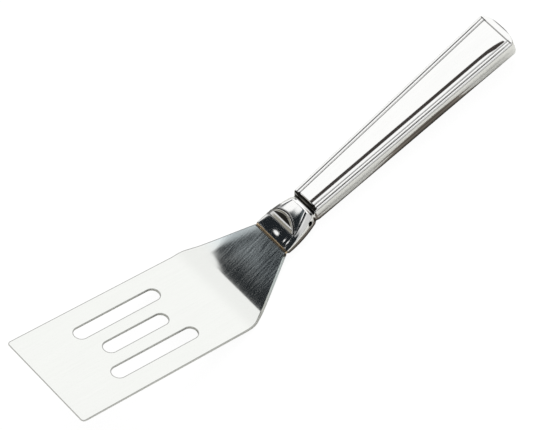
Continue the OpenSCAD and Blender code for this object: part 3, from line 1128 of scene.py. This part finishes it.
@dataclass(frozen=True)
class HandleShell:
    """One stamped half of the handle, a closed shell of even thickness."""

    form: HandleForm
    half: Half
    sheet: float = 0.7
    inner_steps: int = 16

    def _stations(self) -> list[float]:
        """Finds the places of the rows along the spine, close together where the form turns.

        Returns:
            The places in order, from the mouth to the butt.
        """
        form = self.form
        start, end = form.panel
        reach = 4 * form.groove_reach
        turn = [form.length - form.butt_round + form.butt_round * math.sin(a) ** (2 / form.butt_power)
                for a in spread(0, math.pi / 2, 28)]
        places = (spread(0, form.collar_u, 110) + spread(form.collar_u, form.neck_l, 30)
                  + spread(form.neck_l, start + reach, 30) + spread(start + reach, end - reach, 24)
                  + spread(end - reach, form.length - form.butt_round, 24) + turn)
        return sorted(set(places))

    def _columns(self) -> list[float]:
        """Finds the places of the columns over the outer face.

        Returns:
            The places in order, from 0 to 2 * T_END.
        """
        if self.half is Half.BACK:
            half = spread(0, T_END, 40)
        else:
            border_t = self.form.border_t
            half = sorted(set(spread(0, SIDE_T, 6) + spread(SIDE_T, EDGE_T, 8) + spread(EDGE_T, border_t, 40)
                              + spread(border_t, T_END, 30)))
        return half + [2 * T_END - t for t in half[-2::-1]]

    def _point(self, row: tuple[Row, float], column: tuple[Wall, float]) -> Vector:
        """Finds a point of the shell.

        Args:
            row: The kind of the row and its place along the spine.
            column: The wall and the place over it, from 0 to 2 * T_END.

        Returns:
            The point in millimetres.
        """
        form = self.form
        kind, u = row
        wall, t = column
        front = self.half is Half.FRONT
        outer = (form.front_point if front else form.back_point)(u, t)
        inner_end = form.length - self.sheet
        inner_u = {Row.MOUTH: u, Row.WALL: min(u, inner_end - 1e-3), Row.BUTT: inner_end}[kind]
        height = (form.front_height if front else form.back_height)(inner_u)
        inner = form.inner_point(inner_u, t, height, 1 if front else -1, self.sheet)
        if kind is Row.BUTT:
            outer.y = inner.y = 0.0
        if kind is Row.MOUTH:
            return (outer + inner) / 2
        return outer if wall is Wall.OUTER else inner

    def _shading(self, row: tuple[Row, float], column: tuple[Wall, float]) -> float:
        """Finds how much painted shade sits on the shell.

        Args:
            row: The kind of the row and its place along the spine.
            column: The wall and the place over it, from 0 to 2 * T_END.

        Returns:
            The painted shade, from 0 to 1.
        """
        # painted shade all over the inner wall and the mouth
        if column[0] is Wall.INNER or row[0] is Row.MOUTH:
            return 1.0
        if self.half is Half.FRONT:
            return self.form.shade_at(row[1], column[1])
        return float(row[1] < self.form.shade_mouth_l)

    def build(self, lay: Lay) -> bpy.types.Object:
        """Builds the shell.

        Args:
            lay: How the handle lies.

        Returns:
            The shell, with its share of the vent hole.
        """
        stations = self._stations()
        rows = [(Row.MOUTH, 0.0)] + [(Row.WALL, u) for u in stations[:-1]] + [(Row.BUTT, stations[-1])]
        columns = [(Wall.OUTER, t) for t in self._columns()]
        columns += [(Wall.INNER, t) for t in spread(2 * T_END, 0, 2 * self.inner_steps)]
        columns.append(columns[0])
        bm = skin(rows, columns, self._point, self._shading)
        piece = make_piece(self.half.value + "_shell", bm, lay, sharp_deg=35)
        self._drill(piece, lay)
        return piece

    def _make_drill(self, lay: Lay) -> bpy.types.Object:
        """Makes a round drill that stands in the side of the neck.

        Args:
            lay: How the handle lies.

        Returns:
            The drill, with painted shade all over, which the walls of the hole take on.
        """
        form = self.form
        bm = bmesh.new()
        bmesh.ops.create_cone(bm, cap_ends=True, segments=48, radius1=form.vent_d / 2,
                              radius2=form.vent_d / 2, depth=form.width[0])
        turn = Matrix.Rotation(-form.slope(form.vent_start), 4, "Y") @ Matrix.Rotation(math.pi / 2, 4, "X")
        bmesh.ops.transform(bm, matrix=turn, verts=bm.verts)
        place = form.place(form.vent_start, -form.width[0] / 2, form.vent_up)
        bmesh.ops.translate(bm, vec=place, verts=bm.verts)
        # painted shade on the drill, passed on to the walls of the hole
        layer = bm.verts.layers.float.new(PAINTED_SHADE)
        for vert in bm.verts:
            vert[layer] = 1.0
        return make_piece("drill", bm, lay, sharp_deg=35)

    def _drill(self, piece: bpy.types.Object, lay: Lay) -> None:
        """Cuts this half's share of the vent hole and paints shade on its rim.

        Args:
            piece: The shell.
            lay: How the handle lies.
        """
        drill = self._make_drill(lay)
        cut = piece.modifiers.new("vent", "BOOLEAN")
        cut.operation = "DIFFERENCE"
        cut.solver = "EXACT"
        cut.object = drill
        whole = bpy.data.meshes.new_from_object(piece.evaluated_get(bpy.context.evaluated_depsgraph_get()))
        piece.modifiers.clear()
        piece.data = whole
        bpy.data.objects.remove(drill)
        form = self.form
        axis = lay.down(form.place(form.vent_start, 0, form.vent_up))
        painted_shade = whole.attributes[PAINTED_SHADE].data
        for vert in whole.vertices:
            away = math.hypot(vert.co.x - axis.x, vert.co.z - axis.z) / MM
            # painted shade round the rim of the hole
            if vert.co.y < 0 and away < form.vent_d / 2 + 0.05:
                painted_shade[vert.index].value = 1.0


@dataclass(frozen=True)
class SeamBead:
    """The brazed bead between the root and the mouth of the handle."""

    blade: Blade
    form: HandleForm
    length: float = 1.0
    rise: float = 0.55
    steps: int = 10

    def _point(self, row: tuple[float, float, float, float], angle: float) -> Vector:
        """Finds a point of a ring of the bead.

        Args:
            row: The ring's place along the spine, half its width and height, and its squareness.
            angle: The angle round the ring, in radians.

        Returns:
            The point in millimetres.
        """
        u, w, h, power = row
        across = math.copysign(w * abs(math.cos(angle)) ** (2 / power), math.cos(angle))
        up = math.copysign(h * abs(math.sin(angle)) ** (2 / power), math.sin(angle))
        return self.form.place(u, across, up)

    def build(self, lay: Lay) -> bpy.types.Object:
        """Builds the bead as a closed ring around the tang.

        Args:
            lay: How the bead lies.

        Returns:
            The bead.
        """
        blade = self.blade
        hole = (blade.tang_w / 2, blade.tang_t / 2, 8.0)
        rows = [(0.0, *hole), (-self.length, *hole)]
        for k in spread(0, 1, self.steps):
            swell = math.sin(math.pi / 2 * k)
            w = mix(blade.root_w / 2, self.form.width[0] / 2 - self.rise / 3, swell)
            h = blade.root_t / 2 + self.rise * swell
            rows.append((-self.length * (1 - k), w, h, self.form.neck_power))
        rows.append(rows[0])
        angles = [math.radians(a) for a in spread(0, 360, 120)]
        return make_piece("brazed_seam_bead", skin(rows, angles, self._point), lay, sharp_deg=40)


@dataclass(frozen=True)
class TableShade:
    """A dark strip of painted shadow beneath the handle that only its polished side mirrors.

    Its stops give how far it reaches beside the handle at a distance along the spine. It is
    paler away from the handle.
    """

    form: HandleForm
    stops: tuple[tuple[float, float], ...] = ((0.0, 4.0), (40.0, 1.0), (85.0, 7.0), (122.0, 0.0))
    tones: tuple[float, float] = (0.05, 0.5)
    under: float = 7.0
    height: float = 0.2
    dark: tuple[float, float, float] = (0.012, 0.01, 0.007)
    pale: tuple[float, float, float] = (0.36, 0.32, 0.28)

    def _reach(self, u: float) -> float:
        """Finds how far the strip goes beside the handle.

        Args:
            u: The distance along the spine.

        Returns:
            The distance, between those of the two stops around u.
        """
        for (low_u, low), (high_u, high) in zip(self.stops, self.stops[1:]):
            if u <= high_u:
                return mix(low, high, ease(share(u, low_u, high_u)))
        return self.stops[-1][1]

    def _beside(self, u: float, inward: float) -> float:
        """Returns how far a point of the strip lies beside the handle."""
        return mix(self._reach(u), -self.under, inward)

    def _point(self, u: float, inward: float) -> Vector:
        """Returns a point of the strip before it is laid down."""
        return self.form.place(u, -self.form.half_width(u) - self._beside(u, inward), 0)

    def _tone(self, u: float, inward: float) -> float:
        """Returns how pale the strip is at a point."""
        outward = ease(share(self._beside(u, inward), 0.3, max(1.0, self._reach(u))))
        return mix(*self.tones, outward)

    def _paint(self) -> bpy.types.Material:
        """Makes the strip's painted shadow, a glowing dark brown.

        Returns:
            The material, cloudy and as pale as the strip's attribute says.
        """
        material = bpy.data.materials.new("painted_table_shadow")
        material.use_nodes = True
        graph = Graph(material.node_tree)
        coords = graph.add("ShaderNodeTexCoord").outputs["Object"]
        cloud = graph.noise(coords, (60.0, 260.0, 60.0), (0, 0, 0), detail=2.0)
        tone = graph.value("ShaderNodeAttribute", "Fac", {"attribute_name": PAINTED_SHADE})
        colour = graph.blend(tone * (0.7 + 0.6 * cloud), (*self.dark, 1), (*self.pale, 1))
        # painted shadow: the strip glows with its own dark colour instead of being lit
        glow = graph.add("ShaderNodeEmission", None, {"Color": colour, "Strength": 1.0})
        graph.add("ShaderNodeOutputMaterial", None, {"Surface": glow.outputs[0]})
        return material

    def build(self, lay: Lay) -> None:
        """Builds the strip on the table.

        Args:
            lay: How the handle lies.
        """
        along = spread(self.stops[0][0], self.stops[-1][0], 240)
        bm = skin(along, spread(0, 1, 30), self._point, self._tone)
        strip = make_piece("table_shade", bm, lay, sharp_deg=40)
        for vert in strip.data.vertices:
            vert.co.z = self.height * MM
        strip.visible_camera = False
        strip.visible_diffuse = False
        strip.visible_shadow = False
        strip.data.materials.append(self._paint())


@dataclass(frozen=True)
class Studio:
    """A plain white studio: floor, soft lamp, sky and camera.

    The dark parts of the sky are given by the direction that is looked up: along is its X, across
    its Y and up its Z component.
    """

    camera_mm: tuple[float, float, float] = (-310.42, -888.98, 1586.14)
    camera_turn_deg: tuple[float, float, float] = (28.7117, 12.1905, -39.9495)
    lens_mm: float = 299.1
    floor_m: float = 6.0
    floor_colour: tuple[float, float, float] = (0.8, 0.8, 0.79)
    floor_mirrored: tuple[float, float, float] = (0.62, 0.62, 0.59)
    floor_white: float = 0.9
    floor_glow: float = 1.05
    lamp_size_m: tuple[float, float] = (1.6, 1.2)
    lamp_place_m: tuple[float, float, float] = (0.5, 0.7, 1.6)
    lamp_watts: float = 22.0
    sky_light: tuple[float, float, float] = (0.75, 0.75, 0.75)
    dusk: tuple[float, float, float] = (0.014, 0.017, 0.02)
    haze: tuple[float, float, float] = (0.105, 0.125, 0.135)
    beam: tuple[float, float, float] = (0.05, 0.043, 0.04)
    lamp_reach: float = 0.15
    small_lamps: tuple[tuple[tuple[float, float], tuple[float, float]], ...] = (
        ((-0.13, 0.474), (0.013, 0.016)), ((-0.132, 0.33), (0.01, 0.022)), ((-0.129, 0.15), (0.01, 0.037)))
    side_light: tuple[tuple[float, tuple[float, float, float]], ...] = (
        (0.0, (0.03, 0.03, 0.03)), (0.15, (0.03, 0.03, 0.03)), (0.19, (0.3, 0.28, 0.23)),
        (0.31, (0.4, 0.38, 0.32)), (0.34, (1.0, 1.0, 1.0)), (0.9, (1.0, 1.0, 1.0)),
        (0.95, (0.2, 0.17, 0.14)), (1.0, (0.1, 0.09, 0.08)))

    def build_camera(self) -> None:
        """Sets the camera at the photograph's viewing angle."""
        data = bpy.data.cameras.new("camera")
        data.lens = self.lens_mm
        data.sensor_width = 36.0
        data.clip_end = 20.0
        camera = bpy.data.objects.new("camera", data)
        camera.location = Vector(self.camera_mm) * MM
        camera.rotation_euler = Euler([math.radians(a) for a in self.camera_turn_deg])
        bpy.context.scene.collection.objects.link(camera)
        bpy.context.scene.camera = camera

    def build_floor(self) -> None:
        """Lays a pale floor that shows white to the camera and keeps the shadow."""
        bm = bmesh.new()
        bmesh.ops.create_grid(bm, x_segments=1, y_segments=1, size=self.floor_m / 2)
        mesh = bpy.data.meshes.new("floor")
        bm.to_mesh(mesh)
        bm.free()
        floor = bpy.data.objects.new("floor", mesh)
        bpy.context.scene.collection.objects.link(floor)
        material = bpy.data.materials.new("pale_floor")
        material.use_nodes = True
        graph = Graph(material.node_tree)
        path = graph.add("ShaderNodeLightPath")
        seen = Value(graph, path.outputs["Is Camera Ray"])
        mirrored = Value(graph, path.outputs["Is Glossy Ray"])
        colour = graph.blend(mirrored, (*self.floor_colour, 1), (*self.floor_mirrored, 1))
        paint = graph.add("ShaderNodeBsdfDiffuse", None, {"Color": colour})
        white = graph.add("ShaderNodeEmission", None, {"Color": WHITE, "Strength": self.floor_glow})
        both = graph.add("ShaderNodeMixShader", None,
                         {0: seen * self.floor_white, 1: paint.outputs[0], 2: white.outputs[0]})
        graph.add("ShaderNodeOutputMaterial", None, {"Surface": both.outputs[0]})
        mesh.materials.append(material)

    def build_lamp(self) -> None:
        """Hangs one large soft lamp."""
        data = bpy.data.lights.new("soft_lamp", "AREA")
        data.shape = "RECTANGLE"
        data.size, data.size_y = self.lamp_size_m
        data.energy = self.lamp_watts
        lamp = bpy.data.objects.new("soft_lamp", data)
        lamp.location = self.lamp_place_m
        lamp.rotation_euler = Vector(lamp.location).to_track_quat("Z", "Y").to_euler()
        lamp.visible_glossy = False
        bpy.context.scene.collection.objects.link(lamp)

    def build_sky(self) -> None:
        """Fills the sky: plain light, white to the camera, with the dark parts that metal mirrors."""
        world = bpy.data.worlds.new("sky")
        bpy.context.scene.world = world
        world.use_nodes = True
        graph = Graph(world.node_tree)
        direction = graph.add("ShaderNodeTexCoord").outputs["Generated"]
        split = graph.add("ShaderNodeSeparateXYZ", None, {0: direction})
        along, across, up = (Value(graph, split.outputs[axis]) for axis in "XYZ")
        mirrored = graph.blend(self._dark_gap(along, across) * up.step(0, 0.1),
                               self._open_sky(graph, along, across, up), (*self.dusk, 1))
        path = graph.add("ShaderNodeLightPath")
        plain = graph.blend(path.outputs["Is Camera Ray"], (*self.sky_light, 1), WHITE)
        colour = graph.blend(path.outputs["Is Glossy Ray"], plain, mirrored)
        sky = graph.add("ShaderNodeBackground", None, {"Color": colour, "Strength": 1.0})
        graph.add("ShaderNodeOutputWorld", None, {"Surface": sky.outputs[0]})

    def _dark_gap(self, along: Value, across: Value) -> Value:
        """Draws the dark gap between the bright walls, with the small lamps in it.

        Args:
            along: The X component of the direction that is looked up.
            across: Its Y component.

        Returns:
            The mask, 1 in the gap.
        """
        # The gap lies between two borders, left and right, each given as along over across. Where
        # across is low, the left border falls away and the right one runs another way.
        low = 1 - across.step(0.06, 0.12)
        left_in = ((0.33 - across).larger(0) * 0.42).smaller(0.086)
        left = (across - 0.49).larger(0) * 0.53 + left_in - 0.241
        right = ((0.487 - across) * 0.35 - 0.03).larger(-0.052) + (across - 0.7).larger(0) * 0.3
        right_low = (-0.105 - across * 0.29).larger(-0.092).smaller(0.06)
        right = right * (1 - low) + right_low * low
        gap = (along - left + low).step(-0.008, 0.008) * (1 - (along - right).step(-0.012, 0.012))
        for middle, reach in self.small_lamps:
            gap = gap * (1 - self._spot(along, across, middle, reach, self.lamp_reach))
        return gap

    def _open_sky(self, graph: Graph, along: Value, across: Value, up: Value) -> bpy.types.NodeSocket:
        """Draws the light of the sky beside the gap, with a hazy patch and a dark beam.

        Args:
            graph: The world's nodes.
            along: The X component of the direction that is looked up.
            across: Its Y component.
            up: Its Z component.

        Returns:
            The colour.
        """
        sides = graph.add("ShaderNodeValToRGB", {"stops": self.side_light}, {"Fac": along * 0.5 + 0.5})
        gain = up.step(-0.05, 0.2) * (1.04 + 0.08 * along.step(0.3, 0.7))
        gain = gain * (0.6 + 0.4 * across.step(-0.3, -0.05))
        bright = graph.add("ShaderNodeVectorMath", {"operation": "SCALE"},
                           {0: sides.outputs[0], "Scale": gain})
        clear = ((1 - along.step(-0.25, -0.242)) * across.step(0.31, 0.36)).larger(across.step(0.46, 0.52))
        hazy = across.step(0.15, 0.19) * (1 - clear)
        hazy = hazy * (1 - along.step(-0.2, -0.16)) * along.step(-0.4, -0.35)
        hazed = graph.blend(hazy, bright.outputs[0], (*self.haze, 1))
        in_beam = self._spot(along, across, (0.13, 0.345), (0.13, 0.085), 0.2)
        return graph.blend(in_beam, hazed, (*self.beam, 1))

    @staticmethod
    def _spot(along: Value, across: Value, middle: Sequence[float], reach: Sequence[float],
              soft: float) -> Value:
        """Draws an oval spot of the sky.

        Args:
            along: The X component of the direction that is looked up.
            across: Its Y component.
            middle: The middle of the spot in X and Y.
            reach: Half the size of the spot in X and Y.
            soft: The width of its soft edge, as a share of its size.

        Returns:
            The mask, 1 inside.
        """
        away = ((along - middle[0]) / reach[0]) ** 2 + ((across - middle[1]) / reach[1]) ** 2
        return 1 - away.step(1 - soft, 1 + soft)

    def build(self) -> None:
        """Builds the whole studio."""
        self.build_camera()
        self.build_floor()
        self.build_lamp()
        self.build_sky()


def finish_piece(piece: bpy.types.Object, node: str, finish: MetalFinish) -> None:
    """Dresses a piece and ties it to the frame.

    Args:
        piece: The new piece.
        node: The CAD node that it stands for.
        finish: The finish of its surface.
    """
    piece.data.materials.clear()
    piece.data.materials.append(finish.build())
    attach(piece, "root")
    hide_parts(node)
    faces = len(piece.data.polygons)
    log.info("%s stands for %s, %d faces, finish %s", piece.name, node, faces, finish.name)


def main() -> None:
    """Builds the pieces and the studio around them."""
    logging.basicConfig(level=logging.INFO)
    lay = Lay.from_record(frame["record"])
    Studio().build()
    blade = Blade()
    root_direction = Vector((math.cos(blade.turn), 0, math.sin(blade.turn)))
    form = HandleForm(mouth=blade.mouth + SeamBead.length * root_direction)
    TableShade(form).build(lay)
    dull_end = mix(blade.bend_end, blade.root_s, DULL_SHARE)
    dull = tuple(lay.down(blade.bent(s, 0, 0)).x for s in (blade.bend_end, dull_end))
    blade_finish = MetalFinish("blade_steel", colour=(0.83, 0.84, 0.815), shade=(0.81, 0.82, 0.795),
                               painted_shade_colour=(0.09, 0.085, 0.08), rough=(0.05, 0.08),
                               streak_rough=0.12, dull_x=dull)
    handle_finish = MetalFinish("handle_steel")
    braze_finish = MetalFinish("golden_braze", colour=(0.85, 0.68, 0.48), shade=(0.62, 0.48, 0.32),
                               rough=(0.25, 0.45))
    finish_piece(blade.build(lay), "blade", blade_finish)
    finish_piece(SeamBead(blade, form).build(lay), "brazed_bead", braze_finish)
    for half in Half:
        finish_piece(HandleShell(form, half).build(lay), half.value, handle_finish)
    bpy.context.scene.view_settings.view_transform = "Standard"
    bpy.context.view_layer.update()


if __name__ == "__main__":
    main()
